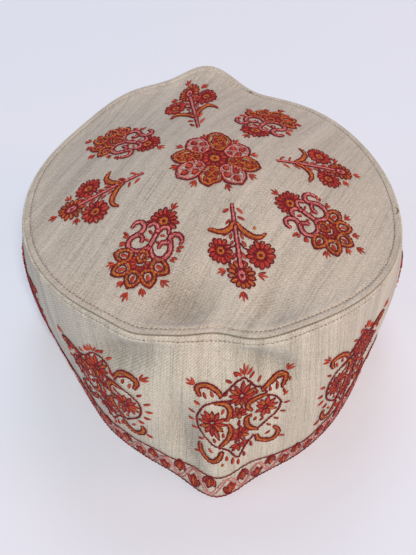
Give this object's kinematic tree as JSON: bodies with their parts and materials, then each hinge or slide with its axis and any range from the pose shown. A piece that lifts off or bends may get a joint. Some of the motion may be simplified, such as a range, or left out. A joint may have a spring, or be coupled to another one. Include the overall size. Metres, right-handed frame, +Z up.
{
  "type": "kashmiri cap",
  "caption": "Round woollen cap with a low domed crown, an upright side band and sozni needlework, standing on its rim.",
  "frame": {"origin": "on the floor under the middle of the cap's bounding box, in the plane of the rim", "axes": "+Z up through the crown, -Y towards the front crease, +X towards the right as seen from the front; +Y is the longest extent and +Z the shortest"},
  "size_m": [0.1871, 0.2113, 0.1082],
  "materials": {
    "crown_cloth": "undyed woollen twill, matt",
    "band_cloth": "undyed woollen twill, matt",
    "red_thread": "stranded embroidery thread, soft sheen",
    "maroon_thread": "stranded embroidery thread, soft sheen",
    "orange_thread": "stranded embroidery thread, soft sheen",
    "pink_thread": "stranded embroidery thread, soft sheen",
    "sewing_thread": "fine sewing thread, matt"
  },
  "bodies": {
    "root": {"crown_top": "crown_cloth", "side_band": "band_cloth"}
  },
  "joints": []
}
